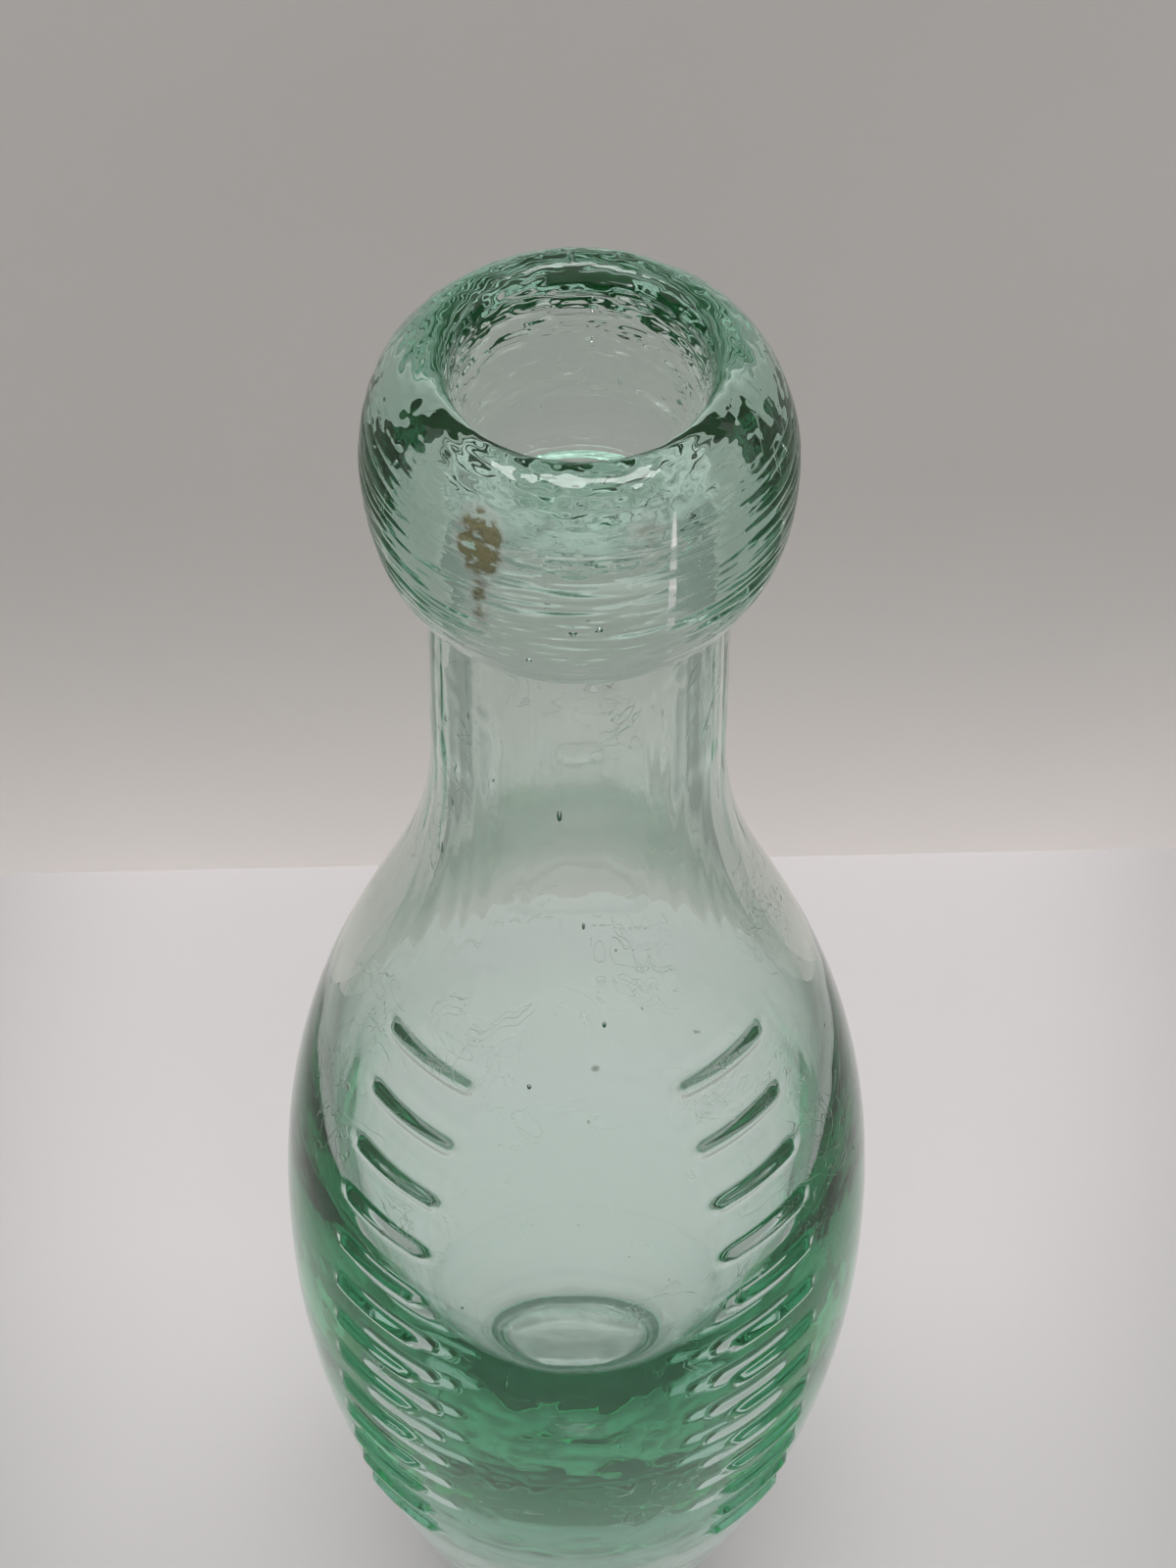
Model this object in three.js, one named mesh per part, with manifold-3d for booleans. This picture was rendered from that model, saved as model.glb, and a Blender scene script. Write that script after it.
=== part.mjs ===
// A flat-bottomed aerated-water bottle in aqua glass: a mould-blown body with two columns of raised bars,
// whose neck ends in a plain cut rim, and a round lip of a second gather of glass laid over that rim and
// tooled to shape. Millimetres, +Z up, origin on the floor at the bottle's axis, front towards -Y.
import Module from "manifold-3d";
import * as THREE from "three";
import { mergeVertices } from "three/addons/utils/BufferGeometryUtils.js";

// Driving dimensions of the blown body
const BASE_RADIUS = 15.8; // outer edge of the flat ring that the bottle stands on
const KICK_RADIUS = 14; // inner edge of that ring, where the underside is pushed up
const KICK_HEIGHT = 20; // how far it is pushed up
const HEEL_RADIUS = 18.4; // body radius just above the rounded heel
const HEEL_RISE = 5; // height of the rounded heel
const BARREL_RADIUS = 32.2; // at the widest point
const BARREL_RISE = 92; // floor to the widest point
const SHOULDER_LENGTH = 90; // widest point to the foot of the neck
const NECK_FOOT_RADIUS = 13;
const NECK_RADIUS = 12.5; // under the lip and inside it
const NECK_LENGTH = 20; // foot of the neck to the lower edge of the lip
const NECK_COVERED = 9.2; // stretch of the neck that runs up inside the lip

// Walls of the blown body, which thicken downwards
const BARREL_WALL = 5.4; // widest radius of the body less that of the hollow
const NECK_WALL = 3.6;
const BASE_THICKNESS = 8; // glass between the pushed-up underside and the flat inner floor
const FLOOR_RADIUS = 13; // inner floor, up to its rounded corner
const FLOOR_CORNER_WIDTH = 4; // that corner, outwards
const FLOOR_CORNER = 7; // and upwards
const HOLLOW_LIFT = 19; // how far the hollow is widest above the body's own widest point

// How far the outline keeps its direction before it turns, as handles of its curves
const TAPER_FULLNESS = 37; // below the widest point
const TAPER_SWEEP = 26.7; // above the heel
const TAPER_LEAN = 3.8; // how far the handle above the heel leans outwards
const SHOULDER_FULLNESS = 53.5; // above the widest point
const SHOULDER_SWEEP = 33; // below the foot of the neck

// The same for the hollow
const HOLLOW_FULLNESS = 36; // below its widest point
const HOLLOW_SHOULDER_FULLNESS = 32; // above its widest point
const HOLLOW_SHOULDER_SWEEP = 30; // below the foot of the neck
const HOLLOW_FOOT_SWEEP = 28; // above the floor's rounded corner
const HOLLOW_FOOT_LEAN = 4; // how far that handle leans outwards
const KICK_CROWN = 13.4; // how far the pushed-up underside stays level
const KICK_STEEP = 19; // how far up its side stays steep
const KICK_DRAFT = 0.7; // how far that handle leans inwards

// Raised bars, in one column on each side of the front
const BAR_COUNT = 13; // in a column
const BAR_PITCH = 7.2;
const BAR_DROP = 29.4; // the lowest bar below the widest point
const BAR_ANGLE = (42 * Math.PI) / 180; // middle of a column, round from the front
const BAR_REACH = 4.6; // half the straight length, to the middle of the round end
const BAR_HALF_WIDTH = 1.25;
const BAR_HEIGHT = 0.75;
const BAR_SLOPE = 0.8; // how far the sides slope in on the way up
const BAR_ROOT = 0.5; // how far the upright part of the bar is sunk into the wall

// Driving dimensions of the lip
const LIP_HEIGHT = 21.2; // lower edge to the crest
const LIP_RADIUS = 17.25; // at the belly of the lip
const LIP_BELLY = 10.7; // height of the belly above the lower edge
const LIP_EDGE = 0.8; // thickness of the lip's lower edge where it lies on the neck
const CREST_RADIUS = 11.5; // circle of the highest points
const MOUTH_RADIUS = 10; // top of the tapered bore
const MOUTH_ROUNDING = 2; // height of the rounding between the crest and the bore
const BORE_LEDGE = 0.25; // how far the lip's bore stands proud of the neck's at the cut rim
const SEAM_GAP = 0.3; // between the neck and the lip laid over it

// Fineness of the facets
const SIDES = 48;
const LONG_STEPS = 12;
const ROUND_STEPS = 4;
const BAR_STEPS = 2; // along each long side of a bar
const BAR_END_STEPS = 3; // round each end of it

// Heights and radii that follow from them
const NECK_FOOT_Z = BARREL_RISE + SHOULDER_LENGTH;
const LIP_EDGE_Z = NECK_FOOT_Z + NECK_LENGTH;
const NECK_RIM_Z = LIP_EDGE_Z + NECK_COVERED;
const CREST_Z = LIP_EDGE_Z + LIP_HEIGHT;
const INNER_BARREL = BARREL_RADIUS - BARREL_WALL;
const INNER_NECK = NECK_RADIUS - NECK_WALL;
const INNER_NECK_FOOT = NECK_FOOT_RADIUS - NECK_WALL;
const HOLLOW_WIDEST_Z = BARREL_RISE + HOLLOW_LIFT;
const FLOOR_Z = KICK_HEIGHT + BASE_THICKNESS;
const FLOOR_CORNER_Z = FLOOR_Z + FLOOR_CORNER;
const FLOOR_SIDE_RADIUS = FLOOR_RADIUS + FLOOR_CORNER_WIDTH;
const FLOOR_CORNER_SLANT = (FLOOR_CORNER * HOLLOW_FOOT_LEAN) / HOLLOW_FOOT_SWEEP;

const glass = new THREE.MeshStandardMaterial({
  color: 0xa9d2bf,
  roughness: 0.06,
  metalness: 0,
  transparent: true,
  opacity: 0.45,
});

const wasm = await Module();
wasm.setup();

const at = (radius, height) => new THREE.Vector2(radius, height);
const line = (from, to) => [new THREE.LineCurve(from, to), 1];
const round = (from, corner, to) => [new THREE.QuadraticBezierCurve(from, corner, to), ROUND_STEPS];
const sweep = (from, near, far, to) => [new THREE.CubicBezierCurve(from, near, far, to), LONG_STEPS];

// Points along stretches that meet end to end, each cut into its own number of steps.
function outline(stretches) {
  const points = [stretches[0][0].getPoint(0)];
  for (const [curve, steps] of stretches) points.push(...curve.getPoints(steps).slice(1));
  return points;
}

// A surface of revolution. The lathe turns about its own Y, from +Z, the front, towards +X.
const turned = (stretches) => new THREE.LatheGeometry(outline(stretches), SIDES);

// A named piece, stood up so that the lathe's Y lies along +Z.
function upright(name, geometry) {
  const mesh = new THREE.Mesh(geometry, glass);
  mesh.name = name;
  mesh.rotation.x = Math.PI / 2;
  return mesh;
}

// A closed geometry as a solid that can be joined to others. Triangles with no area, as at a lathe's poles,
// are left out.
function solid(geometry) {
  const bare = new THREE.BufferGeometry();
  bare.setAttribute("position", geometry.getAttribute("position").clone());
  bare.setIndex(geometry.getIndex());
  const merged = mergeVertices(bare);
  const corners = [];
  const index = merged.getIndex().array;
  for (let k = 0; k < index.length; k += 3) {
    const [a, b, c] = index.slice(k, k + 3);
    if (a !== b && b !== c && c !== a) corners.push(a, b, c);
  }
  const vertProperties = new Float32Array(merged.getAttribute("position").array);
  return new wasm.Manifold(new wasm.Mesh({ numProp: 3, vertProperties, triVerts: new Uint32Array(corners) }));
}

function geometryOf(joined) {
  const { vertProperties, triVerts } = joined.getMesh();
  const geometry = new THREE.BufferGeometry();
  geometry.setAttribute("position", new THREE.BufferAttribute(vertProperties, 3));
  geometry.setIndex(new THREE.BufferAttribute(triVerts, 1));
  geometry.computeVertexNormals();
  return geometry;
}

// Radius of an outline, given as points that rise, at a height.
function radiusAt(points, height) {
  const above = Math.max(1, points.findIndex((point) => point.y >= height));
  const [low, high] = [points[above - 1], points[above]];
  return low.x + ((high.x - low.x) * (height - low.y)) / (high.y - low.y);
}

// A flat bar with round ends and sloping sides, bent round the axis so that it lies on the body's skin.
function raisedBar(skin, middleAngle, middleHeight) {
  const shape = new THREE.Shape();
  shape.moveTo(-BAR_REACH, -BAR_HALF_WIDTH);
  for (let k = 1; k <= BAR_STEPS; k++) {
    shape.lineTo(BAR_REACH * ((2 * k) / BAR_STEPS - 1), -BAR_HALF_WIDTH);
  }
  shape.absarc(BAR_REACH, 0, BAR_HALF_WIDTH, -Math.PI / 2, Math.PI / 2);
  for (let k = 1; k <= BAR_STEPS; k++) {
    shape.lineTo(BAR_REACH * (1 - (2 * k) / BAR_STEPS), BAR_HALF_WIDTH);
  }
  shape.absarc(-BAR_REACH, 0, BAR_HALF_WIDTH, Math.PI / 2, (3 * Math.PI) / 2);
  const bar = new THREE.ExtrudeGeometry(shape, {
    depth: BAR_ROOT,
    curveSegments: BAR_END_STEPS,
    bevelThickness: BAR_HEIGHT,
    bevelSize: BAR_SLOPE,
    bevelOffset: -BAR_SLOPE,
    bevelSegments: 1,
  });
  const middleRadius = radiusAt(skin, middleHeight);
  const spots = bar.getAttribute("position");
  for (let k = 0; k < spots.count; k++) {
    const height = middleHeight + spots.getY(k);
    const angle = middleAngle + spots.getX(k) / middleRadius;
    const radius = radiusAt(skin, height) - BAR_ROOT + spots.getZ(k);
    spots.setXYZ(k, radius * Math.sin(angle), height, radius * Math.cos(angle));
  }
  return bar;
}

// The blown body: underside, heel, barrel, shoulder and neck up to the cut rim, then back down inside.
function blownBody() {
  const kickEdge = at(KICK_RADIUS, 0);
  const baseEdge = at(BASE_RADIUS, 0);
  const heel = at(HEEL_RADIUS, HEEL_RISE);
  const widest = at(BARREL_RADIUS, BARREL_RISE);
  const neckFoot = at(NECK_FOOT_RADIUS, NECK_FOOT_Z);
  const neckUnderLip = at(NECK_RADIUS, LIP_EDGE_Z);
  const rimOutside = at(NECK_RADIUS, NECK_RIM_Z);
  const rimInside = at(INNER_NECK, NECK_RIM_Z);
  const innerNeckFoot = at(INNER_NECK_FOOT, NECK_FOOT_Z);
  const innerWidest = at(INNER_BARREL, HOLLOW_WIDEST_Z);
  const floorSide = at(FLOOR_SIDE_RADIUS, FLOOR_CORNER_Z);
  const floorEdge = at(FLOOR_RADIUS, FLOOR_Z);

  const underside = [
    sweep(
      at(0, KICK_HEIGHT),
      at(KICK_CROWN, KICK_HEIGHT),
      at(KICK_RADIUS - KICK_DRAFT, KICK_STEEP),
      kickEdge,
    ),
    line(kickEdge, baseEdge),
    round(baseEdge, at(HEEL_RADIUS, 0), heel),
  ];
  const outside = [
    sweep(
      heel,
      at(HEEL_RADIUS + TAPER_LEAN, HEEL_RISE + TAPER_SWEEP),
      at(BARREL_RADIUS, BARREL_RISE - TAPER_FULLNESS),
      widest,
    ),
    sweep(
      widest,
      at(BARREL_RADIUS, BARREL_RISE + SHOULDER_FULLNESS),
      at(NECK_FOOT_RADIUS, NECK_FOOT_Z - SHOULDER_SWEEP),
      neckFoot,
    ),
    line(neckFoot, neckUnderLip),
  ];
  const inside = [
    line(neckUnderLip, rimOutside),
    line(rimOutside, rimInside),
    line(rimInside, innerNeckFoot),
    sweep(
      innerNeckFoot,
      at(INNER_NECK_FOOT, NECK_FOOT_Z - HOLLOW_SHOULDER_SWEEP),
      at(INNER_BARREL, HOLLOW_WIDEST_Z + HOLLOW_SHOULDER_FULLNESS),
      innerWidest,
    ),
    sweep(
      innerWidest,
      at(INNER_BARREL, HOLLOW_WIDEST_Z - HOLLOW_FULLNESS),
      at(FLOOR_SIDE_RADIUS + HOLLOW_FOOT_LEAN, FLOOR_CORNER_Z + HOLLOW_FOOT_SWEEP),
      floorSide,
    ),
    round(floorSide, at(FLOOR_SIDE_RADIUS - FLOOR_CORNER_SLANT, FLOOR_Z), floorEdge),
    line(floorEdge, at(0, FLOOR_Z)),
  ];

  const skin = outline(outside);
  let joined = solid(turned([...underside, ...outside, ...inside]));
  for (const side of [-1, 1]) {
    for (let k = 0; k < BAR_COUNT; k++) {
      const height = BARREL_RISE - BAR_DROP + k * BAR_PITCH;
      joined = joined.add(solid(raisedBar(skin, side * BAR_ANGLE, height)));
    }
  }
  return upright("blown_body", geometryOf(joined));
}

// The applied lip: a closed ring that laps over the outside of the neck and over its cut rim.
function appliedLip() {
  const socketRadius = NECK_RADIUS + SEAM_GAP;
  const socketTopZ = NECK_RIM_Z + SEAM_GAP;
  const boreRadius = INNER_NECK - BORE_LEDGE;
  const bellyZ = LIP_EDGE_Z + LIP_BELLY;

  const edgeInside = at(socketRadius, LIP_EDGE_Z);
  const edgeOutside = at(socketRadius + LIP_EDGE, LIP_EDGE_Z);
  const belly = at(LIP_RADIUS, bellyZ);
  const crest = at(CREST_RADIUS, CREST_Z);
  const mouth = at(MOUTH_RADIUS, CREST_Z - MOUTH_ROUNDING);
  const boreFoot = at(boreRadius, socketTopZ);
  const socketTop = at(socketRadius, socketTopZ);

  const ring = [
    line(edgeInside, edgeOutside),
    quarterRound(edgeOutside, belly, false),
    quarterRound(belly, crest, true),
    round(crest, at(MOUTH_RADIUS, CREST_Z), mouth),
    line(mouth, boreFoot),
    line(boreFoot, socketTop),
    line(socketTop, edgeInside),
  ];
  return upright("applied_lip", turned(ring));
}

// A quarter of an ellipse from one point up to another, level at its outer end or at its upper end.
function quarterRound(from, to, levelAtTop) {
  const across = Math.abs(to.x - from.x);
  const rise = to.y - from.y;
  const middle = levelAtTop ? at(to.x, from.y) : at(from.x, to.y);
  const begin = levelAtTop ? 0 : -Math.PI / 2;
  const curve = new THREE.EllipseCurve(middle.x, middle.y, across, rise, begin, begin + Math.PI / 2);
  return [curve, 2 * ROUND_STEPS];
}

const bottle = new THREE.Group();
bottle.add(blownBody(), appliedLip());

export default bottle;
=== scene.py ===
# The looks of the aqua glass bottle: a blown body and an applied lip, both closed solids of revolution
# whose surfaces carry the unevenness of hand work, on a pale stage. The bottle's lengths are in
# millimetres until its vertices are written, which is in metres, and the stage's are in metres. Angles go
# round from the front, -Y, towards +X.
import math

import bpy
import numpy as np
from mathutils import Matrix, Vector


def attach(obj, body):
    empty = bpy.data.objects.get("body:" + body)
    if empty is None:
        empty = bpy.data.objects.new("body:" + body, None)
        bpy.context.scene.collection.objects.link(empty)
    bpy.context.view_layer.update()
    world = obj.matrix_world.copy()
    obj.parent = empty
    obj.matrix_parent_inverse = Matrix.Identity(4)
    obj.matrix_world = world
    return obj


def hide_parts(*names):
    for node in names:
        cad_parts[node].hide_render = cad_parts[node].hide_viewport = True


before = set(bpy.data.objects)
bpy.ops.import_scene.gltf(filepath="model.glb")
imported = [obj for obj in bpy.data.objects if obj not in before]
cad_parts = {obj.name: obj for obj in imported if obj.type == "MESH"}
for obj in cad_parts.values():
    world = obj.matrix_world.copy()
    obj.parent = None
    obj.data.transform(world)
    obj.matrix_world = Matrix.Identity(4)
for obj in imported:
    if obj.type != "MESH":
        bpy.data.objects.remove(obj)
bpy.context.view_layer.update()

MM = 0.001

# Driving sizes of the CAD model
BASE_RADIUS = 15.8
KICK_RADIUS = 14
KICK_HEIGHT = 20
HEEL_RADIUS = 18.4
HEEL_RISE = 5
BARREL_RADIUS = 32.2
BARREL_RISE = 92
SHOULDER_LENGTH = 90
NECK_FOOT_RADIUS = 13
NECK_RADIUS = 12.5
NECK_LENGTH = 20
NECK_COVERED = 9.2
BARREL_WALL = 5.4
NECK_WALL = 3.6
BASE_THICKNESS = 8
FLOOR_RADIUS = 13
FLOOR_CORNER_WIDTH = 4
FLOOR_CORNER = 7
HOLLOW_LIFT = 19
LIP_HEIGHT = 21.2
LIP_RADIUS = 17.25
LIP_BELLY = 10.7
CREST_RADIUS = 11.5
MOUTH_RADIUS = 10
MOUTH_ROUNDING = 2
BORE_LEDGE = 0.25
SEAM_GAP = 0.3

# Heights and radii that follow from them
NECK_FOOT_Z = BARREL_RISE + SHOULDER_LENGTH
LIP_EDGE_Z = NECK_FOOT_Z + NECK_LENGTH
NECK_RIM_Z = LIP_EDGE_Z + NECK_COVERED
LIP_BELLY_Z = LIP_EDGE_Z + LIP_BELLY
CREST_Z = LIP_EDGE_Z + LIP_HEIGHT
MOUTH_Z = CREST_Z - MOUTH_ROUNDING
BORE_FOOT_Z = NECK_RIM_Z + SEAM_GAP
INNER_NECK = NECK_RADIUS - NECK_WALL
INNER_NECK_FOOT = NECK_FOOT_RADIUS - NECK_WALL
BORE_RADIUS = INNER_NECK - BORE_LEDGE
HOLLOW_RADIUS = BARREL_RADIUS - BARREL_WALL
HOLLOW_WIDEST_Z = BARREL_RISE + HOLLOW_LIFT
FLOOR_Z = KICK_HEIGHT + BASE_THICKNESS
FLOOR_CORNER_Z = FLOOR_Z + FLOOR_CORNER
FLOOR_SIDE_RADIUS = FLOOR_RADIUS + FLOOR_CORNER_WIDTH

# The lip's lower edge, softer than in the CAD model, and the arc that leads from it to the belly
LIP_EDGE_RADIUS = 13
LIP_EDGE_ROUNDING = 0.15
LIP_LOWER_MIDDLE = 13.3
LIP_LOWER_BEGIN = -86  # degrees

# Handles of the body's curves
TAPER_LEAN = 3.8
TAPER_SWEEP = 26.7
TAPER_FULLNESS = 37
SHOULDER_FULLNESS = 53.5
SHOULDER_SWEEP = 33
HOLLOW_FULLNESS = 36
HOLLOW_SHOULDER_FULLNESS = 32
HOLLOW_SHOULDER_SWEEP = 30
HOLLOW_FOOT_SWEEP = 28
HOLLOW_FOOT_LEAN = 4
FLOOR_CORNER_SLANT = FLOOR_CORNER * HOLLOW_FOOT_LEAN / HOLLOW_FOOT_SWEEP
KICK_CROWN = 13.4
KICK_STEEP = 19
KICK_DRAFT = 0.7

# Fineness of the meshes: sides round the bottle, and steps along each stretch of the outlines
BODY_SIDES = 240
KICK_STEPS = 36
FOOT_RING_STEPS = 3
HEEL_STEPS = 10
BARREL_STEPS = 170
SHOULDER_STEPS = 190
NECK_STEPS = 30
COVERED_STEPS = 6
RIM_STEPS = 3
INNER_NECK_STEPS = 72
INNER_SHOULDER_STEPS = 100
INNER_BARREL_STEPS = 120
FLOOR_CORNER_STEPS = 16
FLOOR_STEPS = 18
LIP_SIDES = 300
LIP_EDGE_STEPS = 2
LIP_ARC_STEPS = 120
MOUTH_STEPS = 16
BORE_STEPS = 90
SEED_SIDES = 12
SEED_LEVELS = 7
AXIS_RADIUS = 1e-6  # an outline's point closer to the axis than this is a single vertex

# The two gathers of glass are fused, so the seam between them is a hair that light crosses straight
SEAM = 0.03
GLASS_IOR = 1.5
SEAM_IOR = 1.0

# What the glass swallows, per metre of its depth
ABSORB_COLOUR = (0.06, 0.67, 0.42)
ABSORB_DENSITY = 24.5

# Plain raised bars in two columns on the front of the barrel
BAR_DROP = 29.4
BAR_FIRST_Z = BARREL_RISE - BAR_DROP
BAR_PITCH = 7.2
BAR_COUNT = 13
BAR_MIDDLE = math.radians(42)
BAR_HALF_LENGTH = 4.6
BAR_HALF_WIDTH = 1.25
BAR_HEIGHT = 0.75

# Unevenness of the glass, each kind as its depth, its cells round the bottle, a cell's height and a seed
OUTER_SWELL = (0.03, 9, 21, 11)
OUTER_HAMMER = (0.010, 64, 3.1, 12)
OUTER_HAMMER_GAIN = 1.0  # how much deeper it is at the foot
OUTER_STREAKS = (0.030, 74, 27, 13)
OUTER_HAIRS = (0.020, 120, 15, 14)
INNER_SWELL = (0.05, 7, 17, 21)
INNER_SWELL_GAIN = 0.6  # how much deeper it is in the neck
INNER_RIPPLES = (0.016, 30, 2.6, 22)
INNER_STREAKS = (0.040, 52, 31, 23)
INNER_RINGS = (0.020, 23, 1.5, 24)
CREST_DENTS = (0.045, 44, 1.6, 35)
CREST_SPECKS = (0.04, 96, 0.8, 36)
LIP_LUMPS = (0.11, 10, 5.5, 34)
LIP_WANDER = (0.5, 9, 6, 31)
LIP_WANDER_START = 9
BORE_WANDER = (0.45, 11, 5, 41)
BORE_WANDER_START = 5
BORE_RIPPLES = (0.04, 25, 0.55, 42)
BORE_RIPPLES_GAIN = 1.25  # how much deeper they are under the mouth
BORE_FINE_RIPPLES = (0.03, 60, 0.4, 44)
BORE_LUMPS = (0.05, 8, 4, 43)

# Tooling lines of the lip, each kind as the level above which a noise becomes a groove, then its cells
# round the lip, a cell's height and a seed
SHORT_LINES = (0.15, 27, 0.42, 32)
LONG_LINES = (0.2, 11, 0.38, 37)
SLANT_LINES = (0.3, 14, 0.5, 33)
DASH_LINES = (0.3, 58, 0.46, 38)
SLANT_RISE = 1.3
SLANT_TURN = 0.6
GROOVE_DEPTH = 0.10

# The broken ridge at the foot of the bore
RIDGE_BREAKS = (-0.4, 13, 3, 45)
RIDGE_HEIGHT = 0.22
RIDGE_LIFT = 1.0
RIDGE_REACH = 0.7

# Heights between which each kind of unevenness sets in
SKIN_FOOT = (4, 12)
SKIN_TOP = (LIP_EDGE_Z, LIP_EDGE_Z - 3)
OUTER_HAMMER_FADE = (95, 55)
OUTER_NECK = (NECK_FOOT_Z - 40, NECK_FOOT_Z - 14)
OUTER_NECK_TOP = (LIP_EDGE_Z, LIP_EDGE_Z - 2)
INNER_TOP = (NECK_RIM_Z, NECK_RIM_Z - 3)
INNER_NECK_FADE = (NECK_FOOT_Z - 36, NECK_FOOT_Z - 12)
INNER_LOW = (84, 52)
INNER_RINGS_FADE = (NECK_FOOT_Z, NECK_FOOT_Z + 16)
INNER_FLOOR_RADII = (3, 12)  # radii here, since the inner floor is level
LIP_FOOT = (LIP_EDGE_Z + 0.3, LIP_EDGE_Z + 1.6)
LIP_BELLY_TOP = (CREST_Z - 0.8, CREST_Z - 5)
LIP_CREST = (CREST_Z - 7, CREST_Z - 1)
BORE_FOOT = (BORE_FOOT_Z, BORE_FOOT_Z + 0.8)
BORE_TOP = (CREST_Z, CREST_Z - 1.5)
BORE_UPPER = (MOUTH_Z - 7, MOUTH_Z - 2)
BORE_RIM = (MOUTH_Z - 2.5, MOUTH_Z + 0.5)

# Seeds in the body's wall, in its base and in the lip
WALL_SEEDS = 46
WALL_SEED_Z = (40, 200)
WALL_SEED_DEPTH = 0.5
WALL_SEED_SIZE = (0.10, 0.26)
WALL_SEED_TALL = 1.2
NECK_SEED_TALLER = 2.6
NECK_SEED_FADE = (140, 175)
BASE_SEEDS = 26
BASE_SEED_RADIUS = 11
BASE_SEED_SPREAD = (0.02, 1)
BASE_SEED_SIZE = (0.10, 0.28)
BASE_SEED_Z = (22, 26.5)
BASE_SEED_WIDE = 1.3
LIP_SEEDS = 34
LIP_SEED_Z = (204.5, 219)
LIP_SEED_RADIUS = (13.4, 14.4)
LIP_SEED_SIZE = (0.08, 0.2)
LIP_SEED_WIDE = 1.2
FRONT_SEED_RADIUS = 15.4
FRONT_SEEDS = ((-0.02, 210.6, 0.34), (0.10, 210.9, 0.3), (0.05, 212.0, 0.16))  # turn, height and size

# Colours of clean glass and of the dust in its pits
WHITE = (1, 1, 1, 1)
DUST_COLOUR = (0.30, 0.28, 0.24, 1)

# The lime on the inner floor
FILM_RADII = (16, 16, 6)
FILM_WEIGHT = 0.85

# The iron stain on the lip: middle, radii, where a spot begins and is full, and its strength
STAIN_SPOTS = (
    ((-7.2, -14.6, 218.4), (2.5, 4, 3.8), (0.05, 0.60), 1.0),
    ((-7.3, -15.6, 213.5), (1.4, 3, 4.8), (0.05, 0.80), 0.5),
    ((5.0, -14.8, 219.8), (2.1, 3, 2.6), (0.05, 0.90), 0.35),
)
STAIN_COLOUR = (0.16, 0.138, 0.066, 1)
STAIN_TINT = 2.2
STAIN_WEIGHT = 0.85
STAIN_ROUGHNESS = 0.3

# The pale line where the gather lapped
LAP_MIDDLE = (7.05, -14.9, 213.0)
LAP_RADII = (0.42, 6, 11.0)
LAP_WEIGHT = 0.7
LAP_ROUGHNESS = 0.6

# How rough a scratch is on the body and on the lip, how soft the edge of a patch of scratches is, and how
# deep the finest relief is, in metres
BODY_WEAR_ROUGHNESS = 0.35
LIP_WEAR_ROUGHNESS = 0.3
PATCH_EDGE = 0.06
FINE_RELIEF = 0.00006

# The stage, in metres: half the floor's side, half the wall's width, its height, place and turn
FLOOR_HALF = 2
WALL_HALF = 0.7
WALL_HEIGHT = 0.5
WALL_PLACE = (0, 0.118, 0)
WALL_TURN = math.radians(2.2)

# Paper of the stage: the floor's colour in its painted pool of light and in the painted shade far off, the
# wall's in painted light at its foot and painted shade higher up
FLOOR_PAINTED_LIGHT = (0.65, 0.63, 0.64, 1)
FLOOR_PAINTED_SHADE = (0.25, 0.26, 0.25, 1)
WALL_PAINTED_LIGHT = (0.87, 0.823, 0.80, 1)
WALL_PAINTED_SHADE = (0.575, 0.548, 0.535, 1)
PAPER_ROUGHNESS = 0.9
PAPER_SPECULAR = 0.1

# The painted pool of light in the floor's colour, in metres: its middle, its reach to the sides and to the
# front, and the shares of that reach between which it fades to the painted shade far off
LIGHT_POOL_MIDDLE = (0.0, 0.125)
LIGHT_POOL_REACH = (0.12, 0.22)
LIGHT_POOL_FADE = (0.55, 1.35)

# Heights between which the painted shade darkens the wall, in metres
WALL_PAINTED_SHADE_HEIGHTS = (-0.02, 0.095)

# Daylight from the viewer's side, from behind the bottle and from overhead, and the lamp above
FRONT_LIGHT = 0.60
BACK_LIGHT = 0.80
TOP_LIGHT = 1.1
FRONT_TO_BACK = (-0.8, 0.6)
LEVEL_TO_TOP = (0.0, 0.9)
DAYLIGHT = (1, 0.985, 0.97, 1)
LAMP_PLACE = (0, 0.05, 0.9)
LAMP_TARGET = (0, 0, 0.1)
LAMP_SIZE = (0.5, 0.25)
LAMP_WATTS = 3.0

# The camera at the photograph's place
LENS = 60.75
SENSOR = 36
CAMERA_PLACE = (0.0009, -0.1479, 0.360)
CAMERA_TILT = math.radians(90 - 51.88)
CAMERA_ROLL = math.radians(0.5)

# Bounces that light may make inside the thick glass
BOUNCES = 64


def straight(start, end, steps):
    u = np.linspace(0, 1, steps + 1)[:, None]
    return (1 - u) * np.array(start, float) + u * np.array(end, float)


def corner(start, control, end, steps):
    u = np.linspace(0, 1, steps + 1)[:, None]
    p, q, r = (np.array(point, float) for point in (start, control, end))
    return (1 - u) ** 2 * p + 2 * u * (1 - u) * q + u ** 2 * r


def sweep(start, near, far, end, steps):
    u = np.linspace(0, 1, steps + 1)[:, None]
    p, q, r, s = (np.array(point, float) for point in (start, near, far, end))
    return (1 - u) ** 3 * p + 3 * u * (1 - u) ** 2 * q + 3 * u ** 2 * (1 - u) * r + u ** 3 * s


def arc(middle, across, rise, begin, end, steps):
    a = np.radians(np.linspace(begin, end, steps + 1))
    return np.stack([middle[0] + across * np.cos(a), middle[1] + rise * np.sin(a)], axis=1)


def ramp(value, low, high):
    """0 below low, 1 above high and a smooth step between; low may be the larger one."""
    t = np.clip((value - low) / (high - low), 0, 1)
    return t * t * (3 - 2 * t)


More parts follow.
